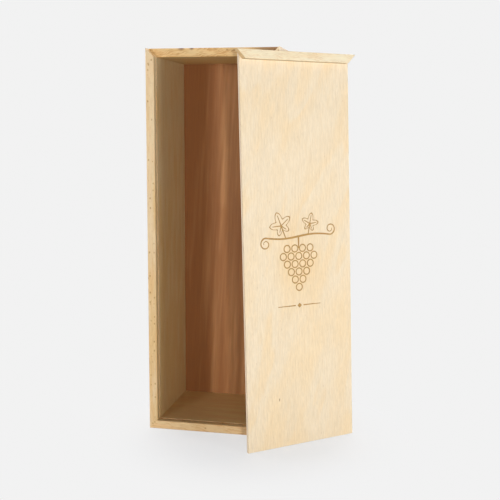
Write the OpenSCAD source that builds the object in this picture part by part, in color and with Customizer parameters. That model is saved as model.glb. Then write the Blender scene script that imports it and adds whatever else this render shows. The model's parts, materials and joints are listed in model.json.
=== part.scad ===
// Wooden box for one bottle of wine, standing upright with its sliding lid taken off.
// Four mitred boards carry two grooves each: the rear one holds the plywood back,
// the front one is the track of the plywood lid. The top board stops behind the lid's track,
// and a strip on the lid, cut from the same board, closes the notch in front of it.
// The lid stands on the floor in front of the box and leans on its front right edge.
// Origin: centre of the underside of the box. +Z up, and the open front faces -Y.

/* [Box] */
// Outer width of the box, left to right
box_w = 126; // [110:1:180]
// Outer depth of the box, front to back
box_d = 110; // [90:1:160]
// Outer height of the box as it stands
box_h = 366; // [300:1:450]
// Thickness of the four boards and height of the lid's strip
board_t = 8; // [7:0.5:12]
// Softened corner along the long edges of the boards
edge_ease = 0.5; // [0.2:0.1:1.2]

/* [Grooves] */
// Wood in front of the lid's groove, and thickness of the lid's strip
front_lip = 6; // [3:0.5:10]
// Wood behind the back panel's groove
rear_lip = 6; // [3:0.5:10]
// How far each groove is cut into the board
groove_depth = 3; // [2:0.5:4.5]

/* [Plywood] */
// Thickness of the lid panel
lid_t = 3; // [2.5:0.5:5]
// Thickness of the back panel
back_t = 3; // [2.5:0.5:5]

/* [Fits] */
// Play of the lid across its thickness, both faces together
lid_play = 0.2; // [0.1:0.05:0.6]
// Play between each long edge of the lid and the bottom of its groove
edge_play = 0.5; // [0.2:0.1:1]
// Play at each mitred end of the lid's strip
mitre_play = 0.8; // [0.2:0.1:1.5]
// Play between each edge of the back panel and the bottom of its groove
back_play = 0.3; // [0.1:0.1:0.8]

/* [Lid as it leans] */
// Turn of the lid about the vertical, its right edge going back
lid_yaw = 40.7; // [20:0.1:60]
// Tilt of the lid from the vertical
lid_lean = 3.4; // [2:0.1:8]
// Distance from the lid's left edge to the box edge that it leans on
lean_reach = 43; // [25:1:80]
// Air between that edge of the box and the rear face of the lid
lean_gap = 0.1; // [0.05:0.05:0.5]

/* [Engraving] */
// Depth of the engraved lines in the lid
engrave_depth = 0.25; // [0.1:0.05:0.6]
// Height of the branch above the lower end of the lid
branch_z = 195; // [150:1:240]
// Length of the branch, from one tendril to the other
branch_len = 70; // [60:1:78]
// Width of the branch at its middle
branch_line = 1.9; // [1.2:0.1:2.6]
// Width of the lines round the grapes and the leaves
fine_line = 1.1; // [0.8:0.1:1.4]
// Outer diameter of a grape
grape_d = 7.6; // [6:0.2:9]
// Wood left between neighbouring grapes
grape_gap = 0.7; // [0.5:0.1:1.2]
// Length of the large leaf's middle lobe
leaf_r = 13.5; // [10:0.5:15]
// Length of the small leaf's middle lobe
small_leaf_r = 10.5; // [8:0.5:12]
// Radius of the outermost turn of a tendril
tendril_r = 5.5; // [4:0.5:6.5]
// Length of the rule below the bunch
rule_len = 46; // [30:1:60]
// Height of the rule above the lower end of the lid
rule_z = 131; // [100:1:136]

/* [Hidden] */
$fn = 48;

// Depths from the front of the box
lid_groove = lid_t + lid_play;
lid_track = front_lip + lid_groove;
back_y = box_d - rear_lip - back_t;

// The lid's height where it sits on the bottom of its lower groove, and its own size
seat_z = board_t - groove_depth;
lid_w = box_w - 2 * seat_z - 2 * edge_play;
lid_l = box_h - seat_z;
strip_w = box_w - 2 * mitre_play;

// The bunch: how many grapes lie in each row, from the top
grape_rows = [4, 5, 4, 3, 2, 1];
grape_pitch = grape_d + grape_gap;
row_drop = grape_pitch * sin(60);

// The branch: how far it waves to either side of its line, and how far the bunch hangs below it
branch_wave = 1.6;
stem_len = 11;
tendril_turns = 1.3;
branch_steps = 24;
tendril_steps = 36;

// The leaves: lobes at equal angles from the middle one, and how each leaf leans on its stalk
lobe_step = 72;
lower_lobe_at = 2 * lobe_step;
leaf_step = 4;
leaf_lean = 22;
small_leaf_lean = -12;

// Proportions, each as a share of the length, radius or width that it goes with
thin_end = 0.6;
tendril_end = 0.3;
leaf_stalk = 0.95;
leaf_web = 0.52;
lobe_point = 0.4;
lower_lobe = 0.72;
vein_gap = 0.24;

// Half the diamond of the rule, and where the lines on each side of it begin
diamond_r = 2.4;
rule_gap = 4.2;

beech = [0.87, 0.76, 0.60];
plywood = [0.93, 0.85, 0.71];
dark_plywood = [0.80, 0.68, 0.50];

// Outline of a board seen from the front of the frame: length along x, outer face at y = 0,
// both ends mitred, with the outer tips softened
function board_outline(length) =
    let (tip = edge_ease / 2)
    [[edge_ease, 0], [tip, tip], [board_t, board_t],
     [length - board_t, board_t], [length - tip, tip], [length - edge_ease, 0]];

// Cross-section of a board: depth along x from the front face, outer face at y = 0
module board_section(front) {
    difference() {
        polygon([
            [front + edge_ease, 0], [front, edge_ease],
            [front, board_t - edge_ease], [front + edge_ease, board_t],
            [box_d - edge_ease, board_t], [box_d, board_t - edge_ease],
            [box_d, edge_ease], [box_d - edge_ease, 0]
        ]);
        translate([front_lip, seat_z]) square([lid_groove, board_t]);
        translate([back_y, seat_z]) square([back_t, board_t]);
    }
}

// A mitred length of board lying on its outer face, along x, its front edge at y = front
module board(length, front = 0) {
    intersection() {
        rotate([90, 0, 90]) linear_extrude(length) board_section(front);
        translate([0, box_d, 0]) rotate([90, 0, 0]) linear_extrude(box_d) polygon(board_outline(length));
    }
}

// Moves from the front left corner of the box's underside to the shared frame
module from_corner(x = 0) {
    translate([x - box_w / 2, -box_d / 2, 0]) children();
}

module left_side() {
    color(beech) from_corner() mirror([1, 0, -1]) board(box_h);
}

module right_side() {
    color(beech) from_corner(box_w) mirror([1, 0, 0]) mirror([1, 0, -1]) board(box_h);
}

module bottom_end() {
    color(beech) from_corner() board(box_w);
}

module top_end() {
    color(beech) from_corner() translate([0, 0, box_h]) mirror([0, 0, 1]) board(box_w, lid_track);
}

module back_panel() {
    edge = seat_z + back_play;
    color(dark_plywood) from_corner()
        translate([edge, back_y, edge]) cube([box_w - 2 * edge, back_t, box_h - 2 * edge]);
}

// A line along the points of a path, from one width to another, as one flat outline
module stroke(path, start_w, end_w) {
    last = len(path) - 1;
    function width(i) = start_w + (end_w - start_w) * i / last;
    function heading(i) =
        let (d = path[min(i + 1, last)] - path[max(i - 1, 0)]) d / norm(d);
    function side(i, s) = path[i] + s * width(i) / 2 * [-heading(i)[1], heading(i)[0]];
    polygon(concat([for (i = [0:last]) side(i, 1)], [for (i = [last:-1:0]) side(i, -1)]));
}

// Radius of a vine leaf at an angle from its middle lobe: the edge dips between the five lobes,
// and the two beside the stalk are shorter
function leaf_radius(r, a) =
    let (dip = abs(sin(a * 180 / lobe_step)),
        lobe = 1 - lobe_point * dip - (1 - lobe_point) * pow(dip, 3))
    r * (leaf_web + (1 - leaf_web) * lobe) * (1 - (1 - lower_lobe) * pow(a / lower_lobe_at, 2));

// A leaf whose stalk starts at the origin and whose middle lobe points along +y
module leaf(r) {
    centre = [0, r * leaf_stalk];
    function rim(a, inset = 0) = centre + (leaf_radius(r, a) - inset) * [-sin(a), cos(a)];
    function outline(inset) = [for (a = [leaf_step - 180:leaf_step:180]) rim(a, inset)];
    difference() {
        polygon(outline(0));
        polygon(outline(fine_line));
    }
    for (a = [-lower_lobe_at:lobe_step:lower_lobe_at])
        stroke([centre, rim(a, r * vein_gap)], fine_line, fine_line * thin_end);
    stroke([[0, 0], centre], fine_line, fine_line);
}

module grape() {
    difference() {
        circle(d = grape_d);
        circle(d = grape_d - 2 * fine_line);
    }
}

module bunch() {
    for (row = [0:len(grape_rows) - 1]) {
        count = grape_rows[row];
        for (i = [0:count - 1])
            translate([(i - (count - 1) / 2) * grape_pitch, -row * row_drop]) grape();
    }
}

// Height of the branch above its line, a shallow wave, at a place along it
function branch_y(x) = branch_wave * sin(360 * x / branch_len);

// The branch, thickest in the middle, with a tendril at each end that curls inwards
module branch() {
    half = branch_len / 2;
    waved = [for (i = [0:branch_steps - 1]) let (x = half * i / branch_steps) [x, branch_y(x)]];
    curled = [for (i = [0:tendril_steps])
        let (t = i / tendril_steps, a = 360 * tendril_turns * t - 90)
        [half, tendril_r] + tendril_r * (1 - (1 - tendril_end) * t) * [cos(a), sin(a)]];
    for (turn = [0, 180])
        rotate(turn) stroke(concat(waved, curled), branch_line, fine_line * thin_end);
}

// Grows a leaf from a place along the branch
module on_branch(x, lean) {
    translate([x, branch_y(x)]) rotate(lean) children();
}

// Two lines with a diamond between them
module rule() {
    for (s = [-1, 1])
        stroke([[s * rule_gap, 0], [s * rule_len / 2, 0]], fine_line, fine_line * thin_end);
    circle(r = diamond_r, $fn = 4);
}

// Everything engraved on the lid, seen from its front, with the lid's lower edge at y = 0
module motif() {
    translate([0, branch_z]) {
        branch();
        on_branch(-leaf_r, leaf_lean) leaf(leaf_r);
        on_branch(small_leaf_r, small_leaf_lean) leaf(small_leaf_r);
        stroke([[0, 0], [0, -stem_len]], branch_line, fine_line);
        translate([0, -stem_len]) bunch();
    }
    translate([0, rule_z]) rule();
}

// Seats a piece of the lid in the place where it leans. In the lid's own frame the lower edge
// is at z = 0, the front face of the panel at y = 0 and the middle of its width at x = 0
module leaning() {
    foot_y = box_h * tan(lid_lean) + lid_t * cos(lid_lean) + lean_gap;
    translate([box_w / 2, -box_d / 2, 0]) rotate([0, 0, lid_yaw])
        translate([lid_w / 2 - lean_reach, -foot_y, lid_t * sin(lid_lean)])
            rotate([-lid_lean, 0, 0]) children();
}

module lid_panel() {
    color(plywood) leaning() difference() {
        translate([-lid_w / 2, 0, 0]) cube([lid_w, lid_t, lid_l]);
        translate([0, engrave_depth, 0]) rotate([90, 0, 0]) linear_extrude(2 * engrave_depth) motif();
    }
}

// The strip on the front of the lid: the piece that was cut from the front of the top board
module lid_strip() {
    color(beech) leaning() translate([-strip_w / 2, -front_lip, lid_l]) mirror([0, 0, 1])
        intersection() {
            rotate([90, 0, 90]) linear_extrude(strip_w) polygon([
                [edge_ease, 0], [0, edge_ease], [0, board_t - edge_ease], [edge_ease, board_t],
                [front_lip, board_t], [front_lip, 0]
            ]);
            translate([0, front_lip, 0]) rotate([90, 0, 0]) linear_extrude(front_lip)
                polygon(board_outline(strip_w));
        }
}

left_side();
right_side();
top_end();
bottom_end();
back_panel();
lid_panel();
lid_strip();
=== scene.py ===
import json
import math

import bpy
from mathutils import Matrix, Vector

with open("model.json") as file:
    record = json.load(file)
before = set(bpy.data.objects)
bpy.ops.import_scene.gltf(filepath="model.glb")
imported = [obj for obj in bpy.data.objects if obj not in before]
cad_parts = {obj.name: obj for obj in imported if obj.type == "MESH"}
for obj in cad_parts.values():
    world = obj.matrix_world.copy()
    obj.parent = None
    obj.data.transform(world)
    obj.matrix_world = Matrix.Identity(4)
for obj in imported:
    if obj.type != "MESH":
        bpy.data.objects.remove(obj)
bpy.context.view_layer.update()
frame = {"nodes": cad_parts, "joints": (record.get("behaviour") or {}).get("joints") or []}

# Lengths are in metres, as in the frame. Those inside a wood pattern are in millimetres, and a
# place or a size there is given across the piece's face, through it and along its grain.
MM = 0.001
THROUGH, ALONG = (0, 1, 0), (0, 0, 1)

# The camera of the photograph, which stands to the right of the box and looks down on it
CAMERA_PLACE = Vector((0.2009, -0.8402, 0.2925))
CAMERA_YAW = math.radians(11.72)
CAMERA_PITCH = math.radians(8.49)
CAMERA_ROLL = math.radians(0.30)
CAMERA_LENS = 62.49
CAMERA_SENSOR = 36
CAMERA_SHIFT = (-0.0018, 0.0163)
CAMERA_CLIP_START = 0.01

# Soft panels of light. Each has its azimuth and elevation in degrees, its distance from the point
# that it looks at, its width and height, its level and the height of that point. Azimuth 0 is in
# front of the box and 90 on its right. A white surface that faces the lamp renders at its level.
# The points that they look at lie on one upright line, at LAMP_AIM_Y.
LAMPS = {
    "right_panel": (62, 5, 1.1, (0.32, 0.45), 0.378, 0.18),
    "front_panel": (-18, 0, 2.2, (0.29, 0.32), 0.295, 0.36),
    "key": (19, -5, 2.2, (0.09, 0.09), 0.25, 0.36),
    "left_panel": (-100, 10, 1.8, (1.0, 1.4), 0.50, 0.20),
    "rear_panel": (172, 12, 1.8, (1.4, 1.4), 0.42, 0.20),
    "overhead": (-168, 74, 1.5, (0.9, 0.9), 0.66, 0.20),
}
LAMP_AIM_Y = -0.03

# Brightness of the paper-white backdrop, and of the light that comes from all round
PAPER = 0.887
AMBIENT = 0.03

# The floor lies just under the box. The light that it throws back is that of plain grey paper.
# Where it is seen, it is a glow plus the light that it catches, so that it keeps the shadow, and
# it runs into the backdrop between two distances from a point under the front of the box.
FLOOR_REACH = 12.0
FLOOR_DROP = 0.0002
FLOOR_PLAIN = (0.60, 0.60, 0.60, 1)
FLOOR_CATCHES = (0.37, 0.345, 0.325, 1)
FLOOR_GLOW = (0.588, 0.608, 0.625, 1)
FLOOR_MIDDLE = (0.04, -0.05, 0)
FLOOR_FADE = (0.05, 0.15)
WHITE = (1, 1, 1, 1)

# Sockets of the node that mixes two colours
MIX_SHARE, MIX_FIRST, MIX_SECOND, MIX_RESULT = 0, 6, 7, 2

# A pattern of this size through a piece is the same all through it
ALL_THROUGH = 900

# Each unit of a pattern's seed moves it this way, in units of its size
SEED_WAY = (1, 1.7, 2.3)

# The part of each ring or flame that rises, and the part of a speck's radius that is its core
RISE = 0.80
CORE = 0.4

# How far a surface is turned one way, from 0 to 1, where it begins to count as looking that way
# and where it counts in full
END_TURN = (0.45, 0.65)
EDGE_TURN = (0.40, 0.70)
INSIDE_TURN = (0.72, 0.90)
FACE_TURN = (0.50, 0.70)

# Sizes of the patterns in solid beech
BANDS = (9, 9, 60)
BLUSHES = (5, 5, 24)
BENDS = (6, 6, 13)
CLEAR_PATCHES = (3, 3, 9)
FIBRES = (0.5, 0.5, 16)
STRANDS = (1.3, 1.3, 9)
FLECKS = (3.4, 3.4, 4.6)
FINE_FLECKS = (1.5, 1.5, 3.6)
END_DOTS = (0.35, 0.35, 3.0)

# The way outwards from ring to ring, across and through a board, and how far the rings bend
RING_ACROSS, RING_THROUGH = 0.80, 0.60
RING_BEND = 9

# Sizes of the patterns in the lid's plywood, and how far its flames lean for each millimetre along
LID_FLAMES = (46, ALL_THROUGH, 150)
LID_CLOUDS = (15, ALL_THROUGH, 60)
LID_FIBRES = (0.8, ALL_THROUGH, 5)
LID_STRANDS = (1.3, ALL_THROUGH, 16)
LID_PORES = (3.0, ALL_THROUGH, 9)
PLY_GRAIN = (0.4, 0.4, 2.5)
CHAR = (2.5, 2.5, 4.0)
LID_LEAN = -0.30

# Depths below the lid's front face where the burnt wood begins and where it ends, both softly
BURNT_FROM, BURNT_TO = (0.02, 0.08), (0.30, 0.36)

# The wood that the engraving has scorched a little, only near the front face, and the small knot
# low on the lid
SCORCHED_PLACE, SCORCHED_SIZE = (0, 0, 176), (46, 3, 62)
KNOT_PLACE, KNOT_SIZE = (-23.7, 0, 44.8), (0.8, 9, 2.4)

# Sizes of the patterns in the back's plywood. Its flames lean by BACK_LEAN for each millimetre
# along. Its dark bands grow towards its left side by a set amount for each millimetre across,
# which is painted shade.
BACK_FLAMES = (34, ALL_THROUGH, 240)
BACK_BANDS = (10, ALL_THROUGH, 200)
BACK_STRIPES = (1.7, ALL_THROUGH, 60)
BACK_FIBRES = (0.8, ALL_THROUGH, 26)
BACK_LEAN = -0.05
BACK_LEFT_SHADE = 0.007

# Height of the relief of each wood
BEECH_RELIEF = 0.10 * MM
LID_RELIEF = 0.05 * MM
BACK_RELIEF = 0.08 * MM

# Where the top board gets darker towards its right end. Its worn marks, each with its place on the
# front edge and its reach along the board, and their size across the edge and through the board.
TOP_DARK_END = (26, 50)
TOP_WORN = (((366, -46, -31), 5), ((366, -46, -21), 3))
WORN_ACROSS, WORN_THROUGH = 2.8, 20

# The middle of the box's height, where the grain of its upright pieces is measured from
BOX_MIDDLE = (0, 0, 0.183)


def srgb(red, green, blue):
    """A colour as a picture shows it, from 0 to 255, turned into the shader's own units."""
    def linear(level):
        share = level / 255
        return share / 12.92 if share <= 0.04045 else ((share + 0.055) / 1.055) ** 2.4
    return (linear(red), linear(green), linear(blue), 1.0)


# The tones of each piece, which its patterns mix
LEFT_TONES = (srgb(238, 211, 168), srgb(233, 198, 143))
RIGHT_TONES = (srgb(244, 226, 192), srgb(240, 215, 176))
TOP_TONES = (srgb(238, 205, 147), srgb(233, 195, 135))
BOTTOM_TONES = (srgb(238, 206, 155), srgb(234, 196, 146))
STRIP_TONES = (srgb(246, 232, 200), srgb(245, 227, 191))
# The back's dark tones: partly the plywood's own, partly painted shade inside the box
BACK_TONES_AND_SHADE = (srgb(203, 149, 96), srgb(180, 124, 72), srgb(152, 96, 48))
LID_TONES = (srgb(247, 229, 200), srgb(248, 223, 183), srgb(244, 225, 195))
PLY_TONES = (srgb(248, 232, 208), srgb(230, 204, 172))
BURNT = srgb(190, 148, 84)

# Tints, by which a tone is multiplied
BLUSH = srgb(255, 247, 240)
RING = srgb(226, 200, 168)
STRAND = srgb(249, 246, 240)
FLECK = srgb(204, 180, 146)
PORE = srgb(206, 184, 156)
MITRED = srgb(234, 216, 190)
# Painted shade: the faces inside the box are tinted darker and less warm
INNER_SHADE = srgb(232, 238, 238)
# Painted shade: the underside of the lid's strip is tinted darker
UNDERSIDE_SHADE = srgb(214, 204, 190)
DARK = srgb(178, 166, 160)
SCORCHED = srgb(253, 245, 230)
KNOT = srgb(150, 120, 92)
WORN = srgb(130, 84, 42)


class Shader:
    """The nodes of a material or a world. A value is a number, a colour, a vector or an output."""

    def __init__(self, owner):
        owner.use_nodes = True
        self.owner = owner
        self.nodes = owner.node_tree.nodes
        self.links = owner.node_tree.links
        self.nodes.clear()

    def feed(self, socket, value):
        if isinstance(value, bpy.types.NodeSocket):
            self.links.new(value, socket)
        else:
            socket.default_value = value

    def node(self, kind, values=(), **settings):
        node = self.nodes.new(kind)
        for key, setting in settings.items():
            setattr(node, key, setting)
        for socket, value in dict(values).items():
            self.feed(node.inputs[socket], value)
        return node

    def math(self, operation, *values):
        values = dict(enumerate(values))
        return self.node("ShaderNodeMath", values, operation=operation).outputs[0]

    def scaled(self, value, factor, offset=0.0):
        return self.math("MULTIPLY_ADD", value, factor, offset)

    def between(self, value, low, high):
        """Low where the value is 0, high where it is 1."""
        return self.scaled(value, high - low, low)

    def opposite(self, value):
        return self.math("SUBTRACT", 1.0, value)

    def measured(self, vector, way):
        """How far a vector reaches one way."""
        values = {0: vector, 1: tuple(way)}
        return self.node("ShaderNodeVectorMath", values, operation="DOT_PRODUCT").outputs["Value"]

    def combined(self, x, y, z):
        return self.node("ShaderNodeCombineXYZ", {"X": x, "Y": y, "Z": z}).outputs[0]

    def smooth(self, value, low, high):
        """0 where the value is below low, 1 above high and a soft step between them."""
        values = {"Value": value, "From Min": low, "From Max": high}
        node = self.node("ShaderNodeMapRange", values, interpolation_type="SMOOTHSTEP")
        return node.outputs["Result"]

    def ramp(self, value):
        """Rises softly from 0 to 1 over most of each whole number, then falls back steeply."""
        turn = self.math("FRACT", value)
        rise, fall = self.smooth(turn, 0.0, RISE), self.smooth(turn, RISE, 1.0)
        return self.math("SUBTRACT", rise, fall)

    def slanted(self, place, lean):
        """The place for a grain that leans across the face, the same all through the piece."""
        across = self.measured(place, (1, 0, lean))
        return self.combined(across, 0.0, self.measured(place, ALONG))

    def in_units(self, place, size, shift):
        """The place in units of a size, then moved by the shift."""
        values = {"Vector": place, "Scale": tuple(1 / s for s in size), "Location": shift}
        return self.node("ShaderNodeMapping", values).outputs[0]

    def seeded(self, place, size, seed):
        return self.in_units(place, size, tuple(seed * way for way in SEED_WAY))

    def noise(self, place, size, seed, detail=2, roughness=0.5):
        values = {"Vector": self.seeded(place, size, seed), "Scale": 1.0, "Detail": detail,
                  "Roughness": roughness}
        return self.node("ShaderNodeTexNoise", values).outputs["Fac"]

    def patches(self, place, size, seed, low, high, detail=2):
        """Soft patches: 1 where the noise is above high, 0 where it is below low."""
        return self.smooth(self.noise(place, size, seed, detail), low, high)

    def flames(self, place, size, seed, steps):
        """The flames of veneer: this many soft steps from the lowest to the highest of a noise."""
        field = self.noise(place, size, seed, detail=3, roughness=0.45)
        return self.ramp(self.scaled(field, steps))

    def specks(self, place, size, seed, radius, chance):
        """1 in the middle of scattered marks, 0 round them. A cell this size has one or none."""
        values = {"Vector": self.seeded(place, size, seed), "Scale": 1.0}
        cells = self.node("ShaderNodeTexVoronoi", values).outputs
        mark = self.opposite(self.smooth(cells["Distance"], radius * CORE, radius))
        drawn = self.measured(cells["Color"], (1, 0, 0))
        return self.math("MULTIPLY", mark, self.math("LESS_THAN", drawn, chance))

    def near(self, place, centre, size):
        """1 at the centre, 0 from this size away on."""
        away = self.in_units(place, size, tuple(-c / s for c, s in zip(centre, size)))
        away = self.node("ShaderNodeVectorMath", {0: away}, operation="LENGTH").outputs["Value"]
        return self.opposite(self.smooth(away, 0.0, 1.0))

    def mix(self, share, first, second, blend="MIX"):
        node = self.node("ShaderNodeMix", data_type="RGBA", blend_type=blend)
        self.feed(node.inputs[MIX_SHARE], share)
        self.feed(node.inputs[MIX_FIRST], first)
        self.feed(node.inputs[MIX_SECOND], second)
        return node.outputs[MIX_RESULT]

    def tinted(self, colour, share, tint):
        """The colour times the tint, as far as the share goes."""
        return self.mix(share, colour, tint, "MULTIPLY")

    def shaded(self, colour, value, low, high):
        """The colour brightened or darkened from low to high as the value goes from 0 to 1."""
        level = self.between(value, low, high)
        return self.mix(1.0, colour, self.combined(level, level, level), "MULTIPLY")

    def backdrop_seen(self):
        """1 for rays that are to see the backdrop: the camera's, and those of gloss and glass."""
        rays = self.node("ShaderNodeLightPath").outputs
        seen = self.math("MAXIMUM", rays["Is Camera Ray"], rays["Is Glossy Ray"])
        return self.math("MAXIMUM", seen, rays["Is Transmission Ray"])

    def finished_wood(self, colour, height, relief, roughness, gloss=0.35):
        """Ends the material as wood of this colour, whose height from 0 to 1 gives it a relief."""
        bump = self.node("ShaderNodeBump", {"Height": height, "Strength": 1.0, "Distance": relief})
        values = {"Base Color": colour, "Roughness": roughness, "Normal": bump.outputs[0],
                  "Specular IOR Level": gloss}
        surface = self.node("ShaderNodeBsdfPrincipled", values)
        self.node("ShaderNodeOutputMaterial", {"Surface": surface.outputs[0]})
        return self.owner


def new_material(name):
    return Shader(bpy.data.materials.new(name))


class Grain:
    """The axes of a piece: across its face, through it and along its grain, from its origin."""

    def __init__(self, across, through, along, origin=(0, 0, 0)):
        self.axes = [Vector(v).normalized() for v in (across, through, along)]
        self.origin = Vector(origin)

    def place(self, shader):
        """The place in the piece, in millimetres."""
        point = shader.node("ShaderNodeTexCoord").outputs["Object"]
        return shader.combined(*[
            shader.scaled(shader.measured(point, axis), 1 / MM, -self.origin.dot(axis) / MM)
            for axis in self.axes])

    def turned(self, shader, way):
        """How far the surface looks one way, from -1 to 1."""
        normal = shader.node("ShaderNodeTexCoord").outputs["Normal"]
        direction = sum((axis * share for axis, share in zip(self.axes, way)), Vector((0, 0, 0)))
        return shader.measured(normal, direction)

    def facing(self, shader, way):
        """How far it looks that way or the opposite way, from 0 to 1."""
        return shader.math("ABSOLUTE", self.turned(shader, way))


def beech_tone(s, place, tones, seed, drift):
    """Bands of two tones, which drift from one to the other along the grain, and a faint blush."""
    bands = s.noise(place, BANDS, seed)
    bands = s.math("ADD", bands, s.measured(place, (0, 0, drift)))
    colour = s.mix(s.smooth(bands, low=0.35, high=0.65), *tones)
    blush = s.patches(place, BLUSHES, seed + 1, low=0.45, high=0.70)
    return s.tinted(colour, s.scaled(blush, 0.7), BLUSH)


def beech_rings(s, place, seed, slope, period, edge):
    """Rings that cross the board at a slope, broken by clear patches and faint on wide faces."""
    bend = s.noise(place, BENDS, seed + 3, detail=3)
    radius = s.measured(place, (RING_ACROSS, RING_THROUGH, slope))
    radius = s.math("ADD", radius, s.scaled(bend, RING_BEND))
    shown = s.patches(place, CLEAR_PATCHES, seed + 4, low=0.30, high=0.65, detail=1)
    ring = s.math("MULTIPLY", s.ramp(s.scaled(radius, 1 / period)), shown)
    return s.math("MULTIPLY", ring, s.between(edge, low=0.15, high=1.0))


def solid_beech(name, grain, tones, seed, slope=0.05, rings=0.05, period=2.7, flecks=1.0,
                drift=0.0, inward=0, inner=INNER_SHADE, dark_end=None, worn=()):
    """Beech, sawn from the solid: tone bands, slanting rings, fibres and brown flecks.

    slope: how far the rings lie aslant along the grain
    rings, flecks: how strong the rings are and how many flecks there are
    period: from ring to ring
    drift: how far the bands move to the second tone for each millimetre along the grain
    inward, inner: which way across the grain (1 or -1) the inner face looks, and its painted shade
    dark_end: the two places along the grain between which the edges get darker
    worn: places and reaches of worn marks on the edges"""
    s = new_material(name)
    place = grain.place(s)
    edge = s.smooth(grain.facing(s, THROUGH), *EDGE_TURN)

    colour = beech_tone(s, place, tones, seed, drift)
    ring = beech_rings(s, place, seed, slope, period, edge)
    # The rings only darken the wood, so it is lifted a little first
    colour = s.shaded(colour, 1.0, low=1.0, high=1 + rings / 4)
    colour = s.tinted(colour, s.scaled(ring, rings * 4), RING)

    fibres = s.noise(place, FIBRES, seed + 5, detail=3, roughness=0.6)
    strands = s.noise(place, STRANDS, seed + 6)
    colour = s.shaded(colour, fibres, low=0.90, high=1.08)
    colour = s.shaded(colour, strands, low=0.93, high=1.07)

    marks = s.specks(place, FLECKS, seed + 7, radius=0.30, chance=0.32 * flecks)
    marks = s.math("MULTIPLY", marks, edge)
    colour = s.tinted(colour, s.scaled(marks, 0.75), FLECK)
    fine = s.specks(place, FINE_FLECKS, seed + 11, radius=0.30, chance=0.35 * flecks)
    colour = s.tinted(colour, s.scaled(fine, 0.25), FLECK)

    # Painted shade: the face that looks the inward way is tinted darker
    if inward:
        inside = s.smooth(grain.turned(s, (inward, 0, 0)), *INSIDE_TURN)
        colour = s.tinted(colour, inside, inner)
    if dark_end:
        end = s.smooth(s.measured(place, ALONG), *dark_end)
        colour = s.tinted(colour, s.math("MULTIPLY", end, edge), DARK)
    for spot, reach in worn:
        mark = s.near(place, spot, (WORN_ACROSS, WORN_THROUGH, reach))
        colour = s.tinted(colour, s.math("MULTIPLY", mark, edge), WORN)

    mitred = s.smooth(grain.facing(s, ALONG), *END_TURN)
    dots = s.noise(place, END_DOTS, seed + 13)
    end_grain = s.shaded(s.tinted(colour, 1.0, MITRED), dots, low=0.88, high=1.10)
    colour = s.mix(mitred, colour, end_grain)

    height = s.math("SUBTRACT", fibres, s.scaled(marks, 0.5))
    return s.finished_wood(colour, height, BEECH_RELIEF, s.between(fibres, low=0.46, high=0.62))


def lid_face(s, place, fibres, seed):
    """Slanting flames and clouds in the veneer, fibres, pores, scorched wood and a small knot."""
    slant = s.slanted(place, LID_LEAN)
    flames = s.flames(slant, LID_FLAMES, seed, steps=5)
    colour = s.mix(s.scaled(flames, 0.8), LID_TONES[0], LID_TONES[1])
    clouds = s.patches(slant, LID_CLOUDS, seed + 3, low=0.40, high=0.72)
    colour = s.mix(s.scaled(clouds, 0.7), colour, LID_TONES[2])

    strands = s.patches(place, LID_STRANDS, seed + 6, low=0.30, high=0.70, detail=3)
    colour = s.tinted(s.shaded(colour, fibres, low=0.86, high=1.14), strands, STRAND)
    pores = s.specks(place, LID_PORES, seed + 7, radius=0.16, chance=0.35)
    colour = s.tinted(colour, s.scaled(pores, 0.25), PORE)
    scorched = s.near(place, SCORCHED_PLACE, SCORCHED_SIZE)
    colour = s.tinted(colour, s.scaled(scorched, 0.8), SCORCHED)
    return s.tinted(colour, s.near(place, KNOT_PLACE, KNOT_SIZE), KNOT)


def lid_edge(s, place, depth, thickness, seed):
    """Three plies, the middle one of another tone because its grain runs across."""
    ply = thickness / MM / 3
    plies = s.math("SINE", s.scaled(depth, math.pi / ply, -math.pi / 2))
    colour = s.mix(s.smooth(plies, low=-0.2, high=0.2), *PLY_TONES)
    return s.shaded(colour, s.noise(place, PLY_GRAIN, seed + 9, detail=3), low=0.90, high=1.08)


def lid_plywood(name, grain, thickness, seed):
    """Pale plywood, with plies on its edges and a burnt engraving."""
    s = new_material(name)
    place = grain.place(s)
    depth = s.measured(place, THROUGH)
    fibres = s.noise(place, LID_FIBRES, seed + 5, detail=3, roughness=0.6)
    face = lid_face(s, place, fibres, seed)
    edge = lid_edge(s, place, depth, thickness, seed)
    colour = s.mix(s.smooth(grain.facing(s, THROUGH), *FACE_TURN), edge, face)

    burnt = s.smooth(depth, *BURNT_FROM)
    burnt = s.math("MULTIPLY", burnt, s.opposite(s.smooth(depth, *BURNT_TO)))
    char = s.noise(place, CHAR, seed + 15)
    colour = s.mix(burnt, colour, s.shaded(BURNT, char, low=0.66, high=1.24))
    roughness = s.between(fibres, low=0.50, high=0.62)
    return s.finished_wood(colour, fibres, LID_RELIEF, roughness, gloss=0.3)


def back_plywood(name, grain, seed):
    """Plywood of the back, its upright grain a little aslant, its dark tones partly painted shade.
    """
    s = new_material(name)
    place = grain.place(s)
    slant = s.slanted(place, BACK_LEAN)
    flames = s.flames(slant, BACK_FLAMES, seed, steps=7)
    colour = s.mix(s.scaled(flames, 0.6), BACK_TONES_AND_SHADE[0], BACK_TONES_AND_SHADE[1])
    bands = s.noise(slant, BACK_BANDS, seed + 1, detail=3)
    # Painted shade: the dark bands get stronger towards the back's left side
    bands = s.math("SUBTRACT", bands, s.measured(place, (BACK_LEFT_SHADE, 0, 0)))
    colour = s.mix(s.smooth(bands, low=0.25, high=0.80), colour, BACK_TONES_AND_SHADE[2])
    stripes = s.noise(slant, BACK_STRIPES, seed + 3)
    fibres = s.noise(place, BACK_FIBRES, seed + 5, detail=3, roughness=0.65)
    colour = s.shaded(colour, stripes, low=0.90, high=1.10)
    colour = s.shaded(colour, fibres, low=0.80, high=1.20)
    return s.finished_wood(colour, fibres, BACK_RELIEF, s.between(fibres, low=0.52, high=0.66))


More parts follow.
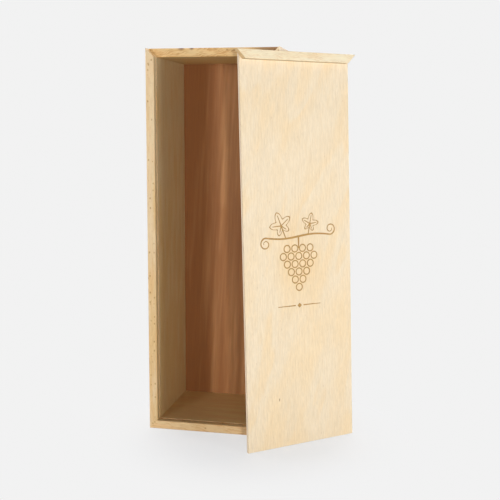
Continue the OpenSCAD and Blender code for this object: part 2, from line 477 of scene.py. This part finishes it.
def lid_axes():
    """The lid's axes as it leans: across it, from its front to its rear face, and up along it."""
    up = Vector(frame["joints"][0]["axis"]).normalized()
    across = Vector((up.y, -up.x, 0)).normalized()
    return across, up.cross(across), up


def measure_lid(axes):
    """The lid panel's thickness, and the middle of its front face's lower edge."""
    corners = [v.co for v in frame["nodes"]["lid_panel"].data.vertices]
    spans = [[corner.dot(axis) for corner in corners] for axis in axes]
    lowest, highest = [min(span) for span in spans], [max(span) for span in spans]
    across, through, up = axes
    middle = (lowest[0] + highest[0]) / 2
    edge_middle = middle * across + lowest[1] * through + lowest[2] * up
    return highest[1] - lowest[1], edge_middle


def dress(node, material):
    frame["nodes"][node].material_slots[0].material = material


def dress_box():
    upright = Grain((1, 0, 0), (0, 1, 0), (0, 0, 1), BOX_MIDDLE)
    lying = Grain((0, 0, 1), (0, 1, 0), (1, 0, 0))
    dress("left_side", solid_beech(
        "beech_left", upright, LEFT_TONES, seed=11, inward=1, flecks=1.5, drift=-0.0008))
    dress("right_side", solid_beech("beech_right", upright, RIGHT_TONES, seed=23, inward=-1))
    dress("top_end", solid_beech(
        "beech_top", lying, TOP_TONES, seed=37, slope=-0.26, rings=0.24, period=1.8, flecks=0.3,
        inward=-1, dark_end=TOP_DARK_END, worn=TOP_WORN))
    dress("bottom_end", solid_beech(
        "beech_bottom", lying, BOTTOM_TONES, seed=53, slope=0.12, rings=0.14, flecks=0.5,
        inward=1))
    dress("back_panel", back_plywood("plywood_back", upright, seed=5))


def dress_lid():
    axes = lid_axes()
    thickness, origin = measure_lid(axes)
    across, through, up = axes
    dress("lid_panel", lid_plywood(
        "plywood_lid", Grain(across, through, up, origin), thickness, seed=7))
    # The strip's underside gets painted shade
    dress("lid_strip", solid_beech(
        "beech_strip", Grain(up, through, across, origin), STRIP_TONES, seed=71, rings=0.10,
        period=1.6, flecks=0.0, inward=-1, inner=UNDERSIDE_SHADE))


def make_camera():
    camera = bpy.data.objects.new("camera", bpy.data.cameras.new("camera"))
    bpy.context.scene.collection.objects.link(camera)
    turn = (Matrix.Rotation(CAMERA_YAW, 4, "Z")
            @ Matrix.Rotation(math.pi / 2 - CAMERA_PITCH, 4, "X")
            @ Matrix.Rotation(CAMERA_ROLL, 4, "Z"))
    camera.matrix_world = Matrix.Translation(CAMERA_PLACE) @ turn
    camera.data.lens = CAMERA_LENS
    camera.data.sensor_width = CAMERA_SENSOR
    camera.data.shift_x, camera.data.shift_y = CAMERA_SHIFT
    camera.data.clip_start = CAMERA_CLIP_START
    bpy.context.scene.camera = camera


def make_lamp(name, azimuth, elevation, distance, size, level, height):
    data = bpy.data.lights.new(name, "AREA")
    data.shape = "RECTANGLE"
    data.size, data.size_y = size
    data.energy = level * math.pi ** 2 * distance ** 2
    lamp = bpy.data.objects.new(name, data)
    bpy.context.scene.collection.objects.link(lamp)
    lamp.visible_camera = False
    turn, rise = math.radians(azimuth), math.radians(elevation)
    flat = math.cos(rise)
    away = Vector((math.sin(turn) * flat, -math.cos(turn) * flat, math.sin(rise)))
    lamp.location = Vector((0, LAMP_AIM_Y, height)) + distance * away
    lamp.rotation_euler = away.to_track_quat("Z", "Y").to_euler()


def make_lamps():
    for name, values in LAMPS.items():
        make_lamp(name, *values)


def make_world():
    world = bpy.data.worlds.new("studio")
    bpy.context.scene.world = world
    s = Shader(world)
    strength = s.between(s.backdrop_seen(), AMBIENT, PAPER)
    background = s.node("ShaderNodeBackground", {"Color": WHITE, "Strength": strength})
    s.node("ShaderNodeOutputWorld", {"Surface": background.outputs[0]})


def floor_paper():
    s = new_material("floor_paper")
    plain = s.node("ShaderNodeBsdfDiffuse", {"Color": FLOOR_PLAIN}).outputs[0]
    backdrop = s.node("ShaderNodeEmission", {"Color": WHITE, "Strength": PAPER}).outputs[0]
    caught = s.node("ShaderNodeBsdfDiffuse", {"Color": FLOOR_CATCHES}).outputs[0]
    glow = s.node("ShaderNodeEmission", {"Color": FLOOR_GLOW, "Strength": 1.0}).outputs[0]
    near = s.node("ShaderNodeAddShader", {0: caught, 1: glow}).outputs[0]
    point = s.node("ShaderNodeTexCoord").outputs["Object"]
    away = s.node("ShaderNodeVectorMath", {0: point, 1: FLOOR_MIDDLE}, operation="DISTANCE")
    far = s.smooth(away.outputs["Value"], *FLOOR_FADE)
    shown = s.node("ShaderNodeMixShader", {0: far, 1: near, 2: backdrop}).outputs[0]
    surface = s.node("ShaderNodeMixShader", {0: s.backdrop_seen(), 1: plain, 2: shown})
    s.node("ShaderNodeOutputMaterial", {"Surface": surface.outputs[0]})
    return s.owner


def make_floor():
    reach = FLOOR_REACH
    corners = [(-reach, -reach, 0), (reach, -reach, 0), (reach, reach, 0), (-reach, reach, 0)]
    mesh = bpy.data.meshes.new("floor")
    mesh.from_pydata(corners, [], [(0, 1, 2, 3)])
    mesh.materials.append(floor_paper())
    floor = bpy.data.objects.new("floor", mesh)
    bpy.context.scene.collection.objects.link(floor)
    floor.location.z = -FLOOR_DROP


make_camera()
make_world()
make_lamps()
make_floor()
dress_box()
dress_lid()
bpy.context.scene.view_settings.view_transform = "Standard"
